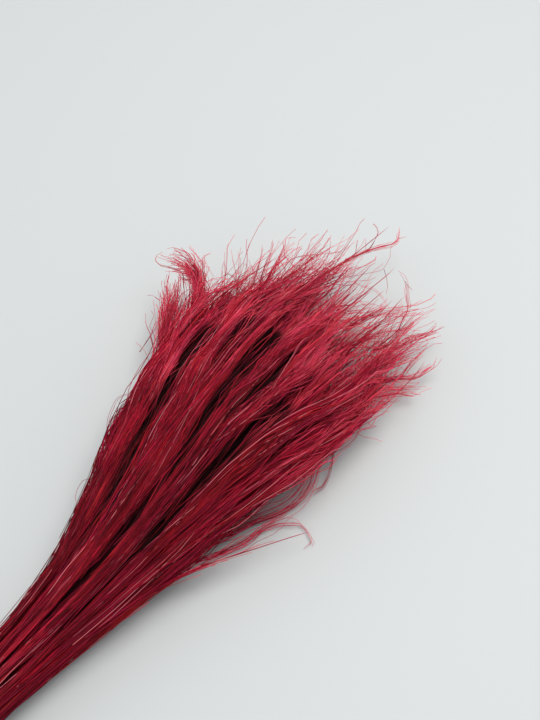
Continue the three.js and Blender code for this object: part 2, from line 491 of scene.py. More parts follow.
def makeCutEnd(b, path, stemRadius, material):
    # a stem is hollow: its cut end shows a pale ring round a small hole
    inputs = {"Curves": path, "Length": 0.0}
    start = b.put("GeometryNodeSampleCurve", inputs, mode="LENGTH", use_all_curves=True).outputs
    place, ahead = (socketOf(start, name) for name in ("Position", "Tangent"))
    ring = b.geo("CurvePrimitiveLine")
    ring = b.geo("ResampleCurve", {"Curve": ring, "Count": len(cutRings)}, mode="COUNT")
    index = b.geo("InputIndex")
    depth, share = 0.0, 0.0
    for i, (ringDepth, ringShare) in enumerate(cutRings):
        isRing = b.maths("COMPARE", index, float(i), 0.5)
        depth = b.plus(depth, b.times(isRing, ringDepth))
        share = b.plus(share, b.times(isRing, ringShare))
    position = b.moved(place, b.scaled(ahead, depth))
    ring = b.geo("SetPosition", {"Geometry": ring, "Position": position})
    radius = b.times(share, stemRadius)
    ring = b.geo("FlipFaces", {"Mesh": tubeOf(b, ring, radius, stalkSetup["stemSides"], False)})
    return b.geo("SetMaterial", {"Geometry": ring, "Material": material})


def makeStalkTree(awnMaterial, stemMaterial, cutMaterial):
    inputs = {"Path": ("NodeSocketGeometry", None), "Seed": ("NodeSocketInt", 1)}
    inputs["Stem Radius"] = ("NodeSocketFloat", stalkSetup["stemRadius"])
    inputs["Ceiling"] = ("NodeSocketFloat", cadBox[1][2] + stalkSetup["ceiling"])
    inputs.update(strandSockets("Awn ", stalkSetup["awnInputs"]))
    inputs.update(strandSockets("Thread ", stalkSetup["threadInputs"]))
    tree = newTree("stalk", "GeometryNodeTree", inputs, {"Stalk": "NodeSocketGeometry"})
    b = Builder(tree)
    given = b.put("NodeGroupInput").outputs
    path = b.geo("MeshToCurve", {"Mesh": given["Path"]})

    def strands(prefix, names, seedShift, material):
        seed = b.plus(given["Seed"], seedShift)
        inputs = {"Path": path, "Seed": seed, "Ceiling": given["Ceiling"]}
        inputs.update({name: given[prefix + name] for name in names})
        group = b.put("GeometryNodeGroup", node_tree=strandTree)
        for name, value in inputs.items():
            tree.links.new(value, group.inputs[name])
        return b.geo("SetMaterial", {"Geometry": group.outputs[0], "Material": material})

    awns = strands("Awn ", stalkSetup["awnInputs"], 0.0, awnMaterial)
    threads = strands("Thread ", stalkSetup["threadInputs"], 500.0, stemMaterial)

    inputs = {"Curve": path, "Count": stalkSetup["stemSteps"]}
    stem = b.geo("ResampleCurve", inputs, mode="COUNT")
    along = b.get("GeometryNodeSplineParameter", "Factor")
    stem = b.store(stem, "along", along, "FLOAT")
    # one tone for the whole stem
    oneId = b.get("FunctionNodeInputInt", 0, integer=0)
    inputs = {"Min": 0.0, "Max": stalkSetup["highestTone"], "ID": oneId, "Seed": given["Seed"]}
    tone = b.get("FunctionNodeRandomValue", 0, inputs, data_type="FLOAT")
    stem = b.store(stem, "tone", tone, "FLOAT")
    stem = b.store(stem, "lockTone", tone, "FLOAT")
    taper = b.ramp(along, stalkSetup["stemThinsFrom"], 1.0, 1.0, stalkSetup["stemTipShare"])
    taper = b.times(taper, b.ramp(along, 0.98, 1.0, 1.0, 0.02))  # closes the tip
    radius = b.times(given["Stem Radius"], taper)
    stem = tubeOf(b, stem, radius, stalkSetup["stemSides"], False)
    stem = b.geo("SetMaterial", {"Geometry": stem, "Material": stemMaterial})
    cutEnd = makeCutEnd(b, path, given["Stem Radius"], cutMaterial)

    join = b.put("GeometryNodeJoinGeometry")
    for part in (stem, cutEnd, threads, awns):
        tree.links.new(part, join.inputs[0])
    whole = b.geo("RealizeInstances", {"Geometry": join.outputs[0]})
    b.put("NodeGroupOutput", {"Stalk": whole})
    return tree


# How the stalks lie: drawn in towards the middle of the bundle and gathered in clumps

fanSetup = {
    "clumps": 20,
    "clumpSeed": 8,
    "clumpRounds": 8,
    "clumpStations": [-0.26, -0.14, -0.04, 0.0, 0.04, 0.08, 0.12, 0.16, 0.20, 0.25],
    "clumpAt": 6,  # the station at which the stalks are shared out among the clumps
    # distances along the bundle, each with the share by which the stalks are drawn in there
    "gathered": [(-0.07, 0.0), (-0.02, 0.4), (0.05, 0.64), (0.10, 0.28), (0.15, 0.2), (0.20, 0.2),
                 (0.25, 0.1)],
    "gatheredHeight": 0.5,  # the same in height, as a share of that
    "drawnIn": [(-0.06, 0.0), (0.0, 0.06), (0.05, 0.08), (0.10, 0.0), (0.24, 0.0)],
    "drawnInBelow": [(-0.06, 0.0), (0.0, 0.03), (0.05, -0.02), (0.10, -0.18), (0.16, -0.24),
                     (0.20, -0.16), (0.24, -0.04)],
    "shared": 30,  # the middle is taken where more than so many stalks have a ring
    "bendLength": 20 * millimetre,  # from the fan to the head of a special path
}

# Stalks that leave the fan, with the paths of their heads in millimetres
specialStalks = {
    "stalk_39": {
        "path": [(112, 20, 24), (126, 28, 26), (137, 34, 28), (147, 42, 29), (156, 49, 30), (161, 56, 30),
                 (162, 63, 30), (160, 69, 29)],
        "inputs": {"Awn Strands": 460, "Awn Ends Before": 0.018, "Awn Ends After": 0.0, "Awn End Bias": 1.0,
                   "Awn Locks": 2, "Awn Lock Spread": 0.4, "Awn Lock Width": 0.003,
                   "Awn Tuft Width": 0.0012, "Awn Wave": 0.004, "Awn Curl": 0.006, "Awn Hook": 0.012,
                   "Awn Splay": 0.008, "Awn Loose Length": 0.03},
    },
    "stalk_24": {
        "path": [(98, 25, 19), (109, 33, 20), (119, 40, 21), (129, 47, 22), (137, 52, 22), (145, 57, 22),
                 (151, 62, 22)],
        "inputs": {"Awn Strands": 360, "Awn Ends Before": 0.032, "Awn Ends After": 0.006, "Awn End Bias": 1.3,
                   "Awn Locks": 2, "Awn Lock Spread": 0.6, "Awn Curl": 0.009, "Awn Hook": 0.01,
                   "Awn Splay": 0.008, "Awn Loose Length": 0.05},
    },
    "stalk_36": {"inputs": {"Awn Ends Before": 0.12, "Awn Ends After": -0.015}},
    "stalk_17": {"inputs": {"Awn Strands": 40, "Awn Lock Spread": 0.8, "Thread Strands": 6}},
}


def middleLine():
    # the middle of the bundle at each of the rings that its stalks share
    rings = {}
    for name in stalkNames:
        for centre, _, _ in stationsOf(name):
            rings.setdefault(round(centre.x, 3), []).append(centre.y)
    xs = sorted(x for x in rings if len(rings[x]) > fanSetup["shared"])
    return xs, [sum(rings[x]) / len(rings[x]) for x in xs]


def drawnIn(point):
    # where the stalks fan out, they lie a little closer to the middle than their full plumes would
    middle = np.interp(point.x, *bundleMiddle)
    side = "drawnIn" if point.y > middle else "drawnInBelow"
    inside = np.interp(point.x, *zip(*fanSetup[side]))
    return Vector((point.x, middle + (point.y - middle) * (1 - inside), point.z))


def lineAt(name, xs):
    # the middle line of a stalk, as its (across, height) values at the given distances
    centres = [centre for centre, _, _ in stationsOf(name)]
    own = [centre.x for centre in centres]
    return [np.interp(xs, own, [centre[axis] for centre in centres]) for axis in (1, 2)]


def makeClumps():
    # neighbouring stalks gather in clumps, with dark gaps between: each stalk gets its clump's middle line
    setup = fanSetup
    names = [name for name in stalkNames if name not in specialStalks]
    lines = np.array([lineAt(name, setup["clumpStations"]) for name in names])
    spots = lines[:, :, setup["clumpAt"]]
    chosen = random.Random(setup["clumpSeed"]).sample(range(len(names)), setup["clumps"])
    middles = spots[chosen]
    for _ in range(setup["clumpRounds"]):
        owners = np.argmin(((spots[:, None] - middles[None]) ** 2).sum(axis=2), axis=1)
        for k in range(len(middles)):
            if (owners == k).any():
                middles[k] = spots[owners == k].mean(axis=0)
    return {name: lines[owners == owner].mean(axis=0) for name, owner in zip(names, owners)}


def gathered(point, clump):
    share = np.interp(point.x, *zip(*fanSetup["gathered"]))
    y, z = (np.interp(point.x, fanSetup["clumpStations"], values) for values in clump)
    lift = (z - point.z) * share * fanSetup["gatheredHeight"]
    return Vector((point.x, point.y + (y - point.y) * share, point.z + lift))


def stationsOf(nodeName):
    # centre and half widths of a stalk at each of its rings, read from the frame's solid
    rings = {}
    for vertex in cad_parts[nodeName].data.vertices:
        rings.setdefault(round(vertex.co.x, 4), []).append(vertex.co)
    stations = []
    for x in sorted(rings):
        ys = [point.y for point in rings[x]]
        zs = [point.z for point in rings[x]]
        centre = Vector((x, (min(ys) + max(ys)) / 2, (min(zs) + max(zs)) / 2))
        stations.append((centre, (max(ys) - min(ys)) / 2, (max(zs) - min(zs)) / 2))
    return stations


def between(a, b, c, d, t):
    # a smooth curve through b and c, with a and d as its neighbours
    bend = 2 * a - 5 * b + 4 * c - d
    twist = 3 * b - a - 3 * c + d
    return 0.5 * (2 * b + (c - a) * t + bend * t * t + twist * t ** 3)


def smoothPath(points, step):
    ends = [points[0] * 2 - points[1]] + points + [points[-1] * 2 - points[-2]]
    path = []
    for i in range(1, len(ends) - 2):
        count = max(1, round((ends[i + 1] - ends[i]).length / step))
        path += [between(*ends[i - 1:i + 3], n / count) for n in range(count)]
    return path + [points[-1]]


def makePath(name, points, sizes):
    mesh = bpy.data.meshes.new(name)
    mesh.from_pydata([tuple(p) for p in points], [(i, i + 1) for i in range(len(points) - 1)], [])
    layer = mesh.attributes.new("halfWidths", "FLOAT_VECTOR", "POINT")
    for i, (across, up) in enumerate(sizes):
        layer.data[i].vector = (0, across, up)
    return addObject(name, mesh)


def sizeAt(x, stations):
    for (low, acrossLow, upLow), (high, acrossHigh, upHigh) in zip(stations, stations[1:]):
        if x <= high.x:
            t = (x - low.x) / max(high.x - low.x, 1e-9)
            return acrossLow + (acrossHigh - acrossLow) * t, upLow + (upHigh - upLow) * t
    return stations[-1][1:]


def fillPlume(sizes, tipShare):
    # the awns of a plume stay spread towards its tip
    widest = (0, 0)
    filled = []
    for across, up in sizes:
        widest = (max(widest[0], across), max(widest[1], up))
        filled.append((max(across, widest[0] * tipShare), max(up, widest[1] * tipShare)))
    return filled


def makeStalk(nodeName, tree, seed):
    special = specialStalks.get(nodeName, {})
    stations = stationsOf(nodeName)
    line = [drawnIn(station[0]) for station in stations]
    if "path" in special:
        bent = [Vector(point) * millimetre for point in special["path"]]
        line = [point for point in line if point.x < bent[0].x - fanSetup["bendLength"]] + bent
    if nodeName in clumps:
        line = [gathered(point, clumps[nodeName]) for point in line]
    points = smoothPath(line, stalkSetup["pathStep"])
    sizes = fillPlume([sizeAt(point.x, stations) for point in points], stalkSetup["plumeTipShare"])
    guide = makePath(nodeName + "_path", points, sizes)
    modifier = guide.modifiers.new("stalk", "NODES")
    modifier.node_group = tree
    setInput(modifier, "Seed", seed)
    for name, value in special.get("inputs", {}).items():
        setInput(modifier, name, value)
    piece = finishPiece(guide, nodeName + "_awns")
    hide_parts(nodeName)
    return piece


def finishPiece(guide, name):
    # the modifier's result becomes a plain mesh of its own
    bpy.context.view_layer.update()
    evaluated = guide.evaluated_get(bpy.context.evaluated_depsgraph_get())
    mesh = bpy.data.meshes.new_from_object(evaluated)
    bpy.data.objects.remove(guide)
    mesh.name = name
    piece = addObject(name, mesh)
    mesh.shade_smooth()
    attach(piece, "root")
    return piece


def setInput(modifier, name, value):
    for item in modifier.node_group.interface.items_tree:
        if item.item_type == "SOCKET" and item.in_out == "INPUT" and item.name == name:
            modifier[item.identifier] = value


grassSetup = {
    "middleAt": 0.84,  # share of a strand's length with the middle colour; the tip colour follows
    "tips": (0.72, 0.96),  # shares between which a strand turns into its tip
    "tipShades": (0.75, 1.35),  # the tips are all about as bright
    "strandShade": 1.15,  # how much the brightness differs from strand to strand
    "darkStrands": 1.5,  # the higher, the more strands are dark
    "tuftShade": 0.35,
    "patchShades": (0.3, 0.65),
    "hues": (0.493, 0.014),  # the least, and how far it varies; 0.5 leaves a hue as it is
    "paleGlint": (0.74, 0.19, 0.22, 1),  # painted highlight: single strands coloured pale pink for the thin highlight lines along the strands, and for strands that took little dye
    "paleGlintFrom": (0.95, 0.975),  # the strands' tones, from 0 to 1, between which the pale sets in
    "orange": (0.50, 0.055, 0.012, 1),  # tufts with the straw showing through
    "orangeFrom": (0.93, 0.95),  # the tufts' tones
    "orangePatches": (0.4, 0.6),  # values of the patches' noise between which it sets in
    "dark": (0.010, 0.0004, 0.001, 1),  # painted shade: the near-black colour towards which strands deep inside the bundle are darkened
    "darkFrom": 0.8 * millimetre,
    "darkFull": 4.8 * millimetre,
    "darkShare": 0.97,
    "roughness": (0.36, 0.62),
    "specular": 0.14,
    "grain": 0.5,
    "grainScale": 2600.0,
    "patchScale": 60.0,
    "grainStretch": (0.03, 1, 1),  # the grain's lines run along the bundle
    "grainShades": (0.7, 1.3),
    "awns": ((0.15, 0.002, 0.010, 1), (0.30, 0.004, 0.022, 1), (0.72, 0.055, 0.10, 1)),
    "awnOrange": 0.2,
    "stems": ((0.25, 0.006, 0.020, 1), (0.30, 0.008, 0.026, 1), (0.42, 0.018, 0.045, 1)),
    "stemOrange": 0.9,
}
# a strand's tone, multiplied by one of these, gives values that don't follow each other
shadeMixer = 37.7
hueMixer = 91.3
bumpHeight = 0.1 * millimetre
noiseRange = (0.3, 0.7)  # most values of a noise lie between these


def makeFibreGroup():
    # colour variation of dyed grass: masks for pale strands, which are partly painted highlight lines, and
    # for orange strands, brightness and grain
    setup = grassSetup
    outputs = ("Brightness", "Hue", "PaleGlint", "Orange", "Grain")
    tree = newTree("fibreTones", "ShaderNodeTree", {
        "Grain Scale": ("NodeSocketFloat", setup["grainScale"]),
        "Patch Scale": ("NodeSocketFloat", setup["patchScale"]),
    }, {name: "NodeSocketFloat" for name in outputs})
    b = Builder(tree)
    given = b.put("NodeGroupInput").outputs
    tone = b.get("ShaderNodeAttribute", "Fac", attribute_name="tone")
    lockTone = b.get("ShaderNodeAttribute", "Fac", attribute_name="lockTone")
    place = b.get("ShaderNodeTexCoord", "Object")
    lengthwise = b.vectors("MULTIPLY", place, setup["grainStretch"])
    inputs = {"Vector": lengthwise, "Scale": given["Grain Scale"], "Detail": 2.0}
    grain = b.get("ShaderNodeTexNoise", 0, inputs)
    inputs = {"Vector": place, "Scale": given["Patch Scale"], "Detail": 1.0}
    patches = b.get("ShaderNodeTexNoise", 0, inputs)
    shade = b.maths("POWER", b.maths("FRACT", b.times(tone, shadeMixer)), setup["darkStrands"])
    shade = b.times(shade, setup["strandShade"])
    bright = b.plus(shade, b.times(lockTone, setup["tuftShade"]))
    bright = b.plus(bright, b.ramp(patches, *noiseRange, *setup["patchShades"]))
    bright = b.times(bright, b.ramp(grain, *noiseRange, *setup["grainShades"]))
    turn = b.maths("FRACT", b.times(tone, hueMixer))
    leastHue, hueRange = setup["hues"]
    b.put("NodeGroupOutput", {
        "Brightness": bright,
        "Hue": b.plus(leastHue, b.times(turn, hueRange)),
        "PaleGlint": b.ramp(tone, *setup["paleGlintFrom"]),
        "Orange": b.times(b.ramp(lockTone, *setup["orangeFrom"]), b.ramp(patches, *setup["orangePatches"])),
        "Grain": grain,
    })
    return tree


fibreGroup = makeFibreGroup()


def newMaterial(name):
    material = bpy.data.materials.new(name)
    material.use_nodes = True
    return material, Builder(material.node_tree)


def finishSurface(b, colour, grain, setup):
    # colour, roughness and a fine relief
    shader = b.tree.nodes["Principled BSDF"]
    roughness = b.ramp(grain, *noiseRange, *setup["roughness"])
    inputs = {"Height": grain, "Strength": setup["grain"], "Distance": bumpHeight}
    bump = b.get("ShaderNodeBump", 0, inputs)
    for name, value in (("Base Color", colour), ("Roughness", roughness), ("Normal", bump)):
        b.tree.links.new(value, shader.inputs[name])
    shader.inputs["Specular IOR Level"].default_value = setup["specular"]


def makeGrassMaterial(name, colours, orangeShare):
    setup = grassSetup
    material, b = newMaterial(name)
    fibre = b.put("ShaderNodeGroup", node_tree=fibreGroup).outputs
    along = b.get("ShaderNodeAttribute", "Fac", attribute_name="along")
    ramp = b.put("ShaderNodeValToRGB", {0: along})
    roots, middle, tips = colours
    ramp.color_ramp.elements[0].color = roots
    ramp.color_ramp.elements[1].color = tips
    ramp.color_ramp.elements.new(setup["middleAt"]).color = middle
    isTip = b.ramp(along, *setup["tips"])
    bright = b.times(b.minus(1.0, isTip), fibre["Brightness"])
    tipBright = b.ramp(fibre["Brightness"], 0.0, 2.0, *setup["tipShades"])
    bright = b.plus(bright, b.times(isTip, tipBright))
    inputs = {"Color": ramp.outputs[0], "Hue": fibre["Hue"], "Value": bright}
    hue = b.get("ShaderNodeHueSaturation", 0, inputs)

    def mixed(share, under, over):
        return b.get("ShaderNodeMix", "Result", {"Factor": share, "A": under, "B": over}, data_type="RGBA")

    colour = mixed(b.times(fibre["Orange"], orangeShare), hue, setup["orange"])
    # painted highlight: a few strands are mixed towards pale pink as thin highlight lines
    colour = mixed(fibre["PaleGlint"], colour, setup["paleGlint"])
    # painted shade: strands lying deep below the top strands are mixed towards a near-black colour in place
    # of the shadow inside the bundle
    depth = b.get("ShaderNodeAttribute", "Fac", attribute_name="depth")
    deep = b.ramp(depth, setup["darkFrom"], setup["darkFull"], 0.0, setup["darkShare"])
    colour = mixed(deep, colour, setup["dark"])
    finishSurface(b, colour, fibre["Grain"], setup)
    return material


cutSetup = {
    "light": (0.62, 0.40, 0.22, 1),
    "deep": (0.34, 0.09, 0.06, 1),
    "patchScale": 2500,
    "grainScale": 9000,
    "roughness": (0.6, 0.85),
    "specular": 0.2,
    "grain": 0.4,
}
rubberSetup = {
    "light": (0.52, 0.33, 0.16, 1),
    "deep": (0.36, 0.19, 0.075, 1),
    "patchScale": 140,
    "grainScale": 2600,
    "roughness": (0.5, 0.72),
    "specular": 0.35,
    "grain": 0.3,
}


def makePlainMaterial(name, setup):
    material, b = newMaterial(name)
    place = b.get("ShaderNodeTexCoord", "Object")
    patches, grain = (b.get("ShaderNodeTexNoise", 0, {"Vector": place, "Scale": setup[size], "Detail": 3.0})
                      for size in ("patchScale", "grainScale"))
    inputs = {"Factor": b.ramp(patches, *noiseRange), "A": setup["deep"], "B": setup["light"]}
    colour = b.get("ShaderNodeMix", "Result", inputs, data_type="RGBA")
    finishSurface(b, colour, grain, setup)
    return material


awnMaterial = makeGrassMaterial("dyedAwns", grassSetup["awns"], grassSetup["awnOrange"])
stemMaterial = makeGrassMaterial("dyedStems", grassSetup["stems"], grassSetup["stemOrange"])
cutMaterial = makePlainMaterial("cutStraw", cutSetup)
stalkTree = makeStalkTree(awnMaterial, stemMaterial, cutMaterial)
stalkNames = sorted(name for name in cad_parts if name.startswith("stalk_"))
bundleMiddle = middleLine()
clumps = makeClumps()
triangles = 0
pieces = []
for number, nodeName in enumerate(stalkNames):
    piece = makeStalk(nodeName, stalkTree, stalkSetup["firstSeed"] + number * stalkSetup["seedStep"])
    pieces.append(piece)
    triangles += sum(len(face.vertices) - 2 for face in piece.data.polygons)
print("stalks are made:", len(stalkNames), "with", triangles, "triangles")


# Single hairs and thin locks that stand out from the fan: how many hairs each has, how far
# they lie apart and the points they pass, in millimetres

strayHairs = [
    (3, 0.8, [(147, 50, 26), (153, 57, 28), (157, 61, 30), (156, 66, 31), (154, 71, 31), (153, 73, 31),
            (154, 78, 30), (158, 81, 29), (162, 81, 28)]),
    (9, 2.4, [(151, 43, 28), (159, 51, 31), (163, 58, 33), (165, 65, 33), (165, 70, 32), (164, 75, 31),
            (162, 77, 30)]),
    (4, 1.5, [(153, 41, 28), (159, 47, 30), (165, 54, 31), (170, 59, 31), (174, 61, 30), (176, 60, 30)]),
    (2, 0.5, [(120, 39, 20), (128, 47, 22), (135, 56, 23), (139, 60, 23), (140, 63, 23), (140, 66, 23),
            (140, 69, 22), (139, 71, 21)]),
    (5, 1.8, [(121, 38, 20), (129, 47, 22), (136, 56, 23), (143, 63, 24), (145, 66, 24)]),
    (2, 0.4, [(110, 39, 18), (117, 45, 18), (123, 53, 18), (126, 59, 18), (132, 66, 17)]),
    (2, 0.4, [(113, 51, 15), (118, 52, 16), (121, 52, 18), (130, 54, 20), (136, 57, 22), (141, 60, 24)]),
    (1, 0.1, [(101, 33, 16), (108, 39, 17), (112, 44, 17), (115, 50, 16), (116, 54, 15), (116, 57, 15)]),
    (1, 0.1, [(41, 8, 10), (45, 14, 10), (48, 18, 10), (46, 20, 10), (44, 21, 10), (39, 20, 9), (36, 18, 9),
            (34, 15, 9), (33, 12, 9)]),
    (1, 0.1, [(53, 19, 10), (54, 22, 10), (61, 27, 11), (69, 29, 12), (78, 29, 14), (86, 29, 16)]),
    (2, 0.6, [(61, 22, 11), (64, 26, 11), (70, 31, 11), (75, 35, 12), (81, 38, 13), (86, 39, 15),
            (90, 36, 17), (94, 32, 19)]),
    (2, 0.4, [(159, 35, 28), (166, 40, 29), (173, 45, 29), (183, 53, 28), (189, 58, 27), (199, 62, 25)]),
    (2, 0.4, [(162, 28, 30), (170, 34, 30), (176, 41, 30), (181, 47, 29), (187, 54, 28)]),
    (2, 0.4, [(169, 30, 30), (171, 35, 30), (173, 40, 30), (173, 44, 29), (167, 45, 28), (162, 45, 27)]),
    (6, 1.6, [(175, 24, 30), (188, 31, 29), (199, 36, 28), (209, 42, 26)]),
    (5, 1.5, [(180, 23, 30), (196, 30, 28), (206, 34, 27), (211, 36, 26), (215, 39, 25), (218, 37, 24)]),
    (5, 1.8, [(176, 22, 30), (192, 28, 29), (203, 31, 27), (209, 32, 26), (215, 32, 25)]),
    (4, 1.2, [(171, 26, 30), (182, 32, 29), (193, 38, 28), (202, 44, 26)]),
    (3, 0.8, [(168, 32, 30), (179, 41, 29), (187, 48, 28), (193, 52, 27)]),
    (2, 0.4, [(179, 21, 28), (188, 24, 27), (194, 25, 26), (200, 26, 25), (206, 27, 24), (212, 25, 23),
            (219, 20, 22), (225, 16, 21), (232, 12, 20)]),
    (14, 1.1, [(176, 10, 24), (187, 10, 24), (203, 9, 23), (215, 8, 22), (227, 6, 21), (238, 3, 20),
            (248, -1, 19), (254, -4, 18), (258, -5, 18), (262, -3, 17), (269, 1, 16)]),
    (2, 0.3, [(248, -1, 19), (255, -4, 18), (261, -4, 17), (266, -6, 16)]),
    (2, 0.3, [(230, 6, 20), (233, 5, 20), (238, 8, 20), (243, 11, 20)]),
    (2, 0.3, [(238, 3, 20), (242, 2, 20), (247, 3, 20), (250, 4, 20), (255, 6, 20), (258, 9, 19),
            (260, 13, 18)]),
    (1, 0.1, [(236, 4, 20), (240, 3, 20), (244, 6, 20), (248, 9, 19)]),
    (1, 0.1, [(197, 7, 22), (208, 6, 21), (217, 2, 20), (221, -2, 19), (228, -6, 18), (235, -10, 17),
            (238, -11, 17), (243, -10, 17), (247, -9, 18), (251, -6, 18), (254, -5, 18)]),
    (1, 0.1, [(239, -11, 16), (235, -16, 15), (232, -19, 14), (228, -21, 13)]),
    (1, 0.1, [(220, -2, 18), (223, -2, 18), (230, 1, 19), (235, 1, 20)]),
    (2, 0.5, [(193, 4, 21), (203, 4, 20), (211, 2, 19), (213, -1, 19), (216, -5, 19), (220, -6, 18),
            (221, -10, 17), (223, -14, 17), (224, -17, 16), (223, -23, 15), (221, -29, 14)]),
    (2, 0.5, [(194, -5, 20), (201, -10, 19), (206, -13, 18), (212, -13, 18), (219, -12, 17), (223, -11, 17),
            (228, -9, 16)]),
    (2, 0.5, [(193, -40, 16), (202, -41, 16), (212, -41, 15), (218, -39, 15), (224, -38, 15), (229, -35, 14),
            (232, -32, 14), (240, -25, 14), (243, -20, 14), (243, -16, 14)]),
    (1, 0.1, [(241, -24, 14), (240, -27, 13), (240, -30, 12)]),
    (4, 1, [(191, -21, 18), (203, -24, 17), (211, -26, 16), (216, -29, 16), (220, -32, 15), (223, -33, 14),
            (225, -32, 14)]),
    (3, 0.8, [(189, -6, 20), (199, -9, 19), (206, -13, 18), (212, -15, 17), (212, -18, 16)]),
    (4, 1.2, [(196, -21, 18), (207, -23, 17), (215, -25, 16), (220, -25, 16)]),
    (4, 1, [(192, -39, 14), (204, -43, 13), (214, -43, 13), (224, -43, 12), (231, -44, 11)]),
    (4, 1, [(184, -41, 13), (200, -46, 12), (210, -49, 12), (220, -53, 11), (228, -56, 10)]),
    (3, 1, [(187, -42, 13), (201, -44, 12), (213, -47, 12), (222, -52, 11), (229, -52, 10)]),
    (4, 1, [(170, -44, 12), (179, -44, 11), (187, -48, 11), (197, -52, 10), (203, -53, 9), (206, -55, 9)]),
    (3, 0.7, [(174, -47, 11), (189, -58, 10), (193, -59, 10), (199, -58, 9), (206, -58, 9), (212, -58, 8)]),
    (5, 1, [(162, -42, 11), (172, -45, 10), (184, -51, 9), (190, -57, 9), (196, -63, 9), (204, -65, 8),
            (210, -66, 8), (215, -65, 8)]),
    (4, 1, [(161, -46, 10), (173, -50, 9), (180, -54, 9), (189, -62, 8), (197, -70, 7)]),
    (4, 1, [(159, -48, 9), (169, -52, 8), (176, -57, 8), (184, -62, 7), (189, -69, 6)]),
    (1, 0.1, [(154, -51, 8), (155, -56, 6), (153, -61, 5), (154, -64, 4), (157, -68, 3), (159, -72, 2)]),
    (2, 0.6, [(143, -49, 8), (140, -56, 6), (134, -60, 5), (129, -63, 4), (124, -65, 3), (119, -66, 2),
            (116, -65, 2), (113, -64, 2)]),
    (8, 1.8, [(56, -40, 4), (66, -45, 4), (72, -49, 4), (81, -52, 4), (91, -57, 4), (102, -61, 4),
            (114, -61, 5), (127, -55, 6), (136, -52, 6)]),
    (2, 0.6, [(38, -39, 4), (49, -44, 4), (59, -50, 3), (70, -54, 3), (82, -58, 2.5), (90, -62, 2),
            (94, -66, 2), (97, -70, 1.5), (96, -76, 1.5), (94, -80, 1), (92, -80, 1), (89, -80, 1)]),
    (1, 0.1, [(41, -39, 4), (58, -44, 4), (70, -48, 4), (83, -54, 3), (90, -58, 3), (95, -63, 3),
            (98, -67, 2), (97, -72, 2), (95, -79, 1.5), (93, -80, 1)]),
    (3, 0.5, [(37, -37, 4), (41, -38, 4), (49, -41, 4), (58, -45, 4), (67, -49, 4), (78, -52, 4),
            (88, -54, 4)]),
    (4, 0.8, [(37, -37, 4), (40, -38, 4), (47, -43, 4), (55, -48, 3), (59, -50, 3), (73, -57, 3),
            (83, -58, 3), (97, -61, 3)]),
    (1, 0.1, [(43, -37, 3), (40, -37, 2), (37, -39, 2), (32, -40, 1.5), (28, -39, 1)]),
    (11, 2.0, [(56, -37, 6), (74, -43, 7), (90, -47, 8), (106, -49, 8), (122, -49, 8), (140, -48, 9)]),
]
straySetup = {
    "radius": 0.2 * millimetre,
    "step": 3 * millimetre,
    "wobble": 0.35 * millimetre,
    "wobbleRates": (0.2, 0.6),  # radians in each step
    "tipShare": 0.5,
    "hairSides": 3,
    "alongFrom": 0.78,  # their colours start at this share of a strand's length
    "spreadFrom": 0.4,  # of the hairs of a lock, as a share of its spread, and how much it grows
    "spreadMore": 0.8,
    "shorter": 0.25,  # by which share of the lock's length a hair may end early
    "lowest": 0.4 * millimetre,
    "lowerSide": -20,  # millimetres across the bundle; below this the locks are fuller
    "fuller": 3,
    "wider": 2.2,
    "seed": 4,
}


def makeHairTree(material):
    tree = newTree("hairsOnLines", "GeometryNodeTree", {
        "Lines": ("NodeSocketGeometry", None),
        "Radius": ("NodeSocketFloat", straySetup["radius"]),
        "Tip Share": ("NodeSocketFloat", straySetup["tipShare"]),
    }, {"Hairs": "NodeSocketGeometry"})
    b = Builder(tree)
    given = b.put("NodeGroupInput").outputs
    hairs = b.geo("MeshToCurve", {"Mesh": given["Lines"]})
    along = b.attribute("along", "FLOAT")
    radius = b.times(given["Radius"], b.ramp(along, 0.6, 1.0, 1.0, given["Tip Share"]))
    hairs = tubeOf(b, hairs, radius, straySetup["hairSides"])
    hairs = b.geo("RealizeInstances", {"Geometry": hairs})
    hairs = b.geo("SetMaterial", {"Geometry": hairs, "Material": material})
    b.put("NodeGroupOutput", {"Hairs": hairs})
    return tree


def strayLines():
    setup = straySetup
    chances = random.Random(setup["seed"])
    points, edges, values = [], [], []
    for count, spread, passed in strayHairs:
        if passed[0][1] < setup["lowerSide"] and count > 1:
            count *= setup["fuller"]
            spread *= setup["wider"]
        base = smoothPath([Vector(point) * millimetre for point in passed], setup["step"])
        longestCut = max(1, round(len(base) * setup["shorter"]))
        for n in range(count):
            line = base[:len(base) - chances.randrange(longestCut)] if n else base
            offset = Vector([chances.gauss(0, 0.5) for _ in range(3)]) * spread * millimetre
            turns = [(chances.uniform(*setup["wobbleRates"]), chances.uniform(0, 6.3)) for _ in range(3)]
            tones = chances.random(), chances.random()
            first = len(points)
            for i, point in enumerate(line):
                opened = setup["spreadFrom"] + setup["spreadMore"] * i / len(base)
                place = point + offset * opened
                if n:
                    wobble = Vector([math.sin(i * rate + phase) for rate, phase in turns])
                    place += wobble * setup["wobble"]
                place.z = max(place.z, setup["lowest"])
                along = setup["alongFrom"] + (1 - setup["alongFrom"]) * i / (len(line) - 1)
                points.append(place)
                values.append((along, *tones))
            edges += [(i, i + 1) for i in range(first, len(points) - 1)]
    return points, edges, values


def makeStrays(material):
    points, edges, values = strayLines()
    mesh = bpy.data.meshes.new("strayLines")
    mesh.from_pydata([tuple(point) for point in points], edges, [])
    for i, name in enumerate(("along", "tone", "lockTone")):
        layer = mesh.attributes.new(name, "FLOAT", "POINT")
        layer.data.foreach_set("value", [value[i] for value in values])
    guide = addObject("strayLines", mesh)
    modifier = guide.modifiers.new("hairs", "NODES")
    modifier.node_group = makeHairTree(material)
    return finishPiece(guide, "stray_hairs")


pieces.append(makeStrays(awnMaterial))
print("stray hairs are made:", len(pieces[-1].data.polygons), "faces")
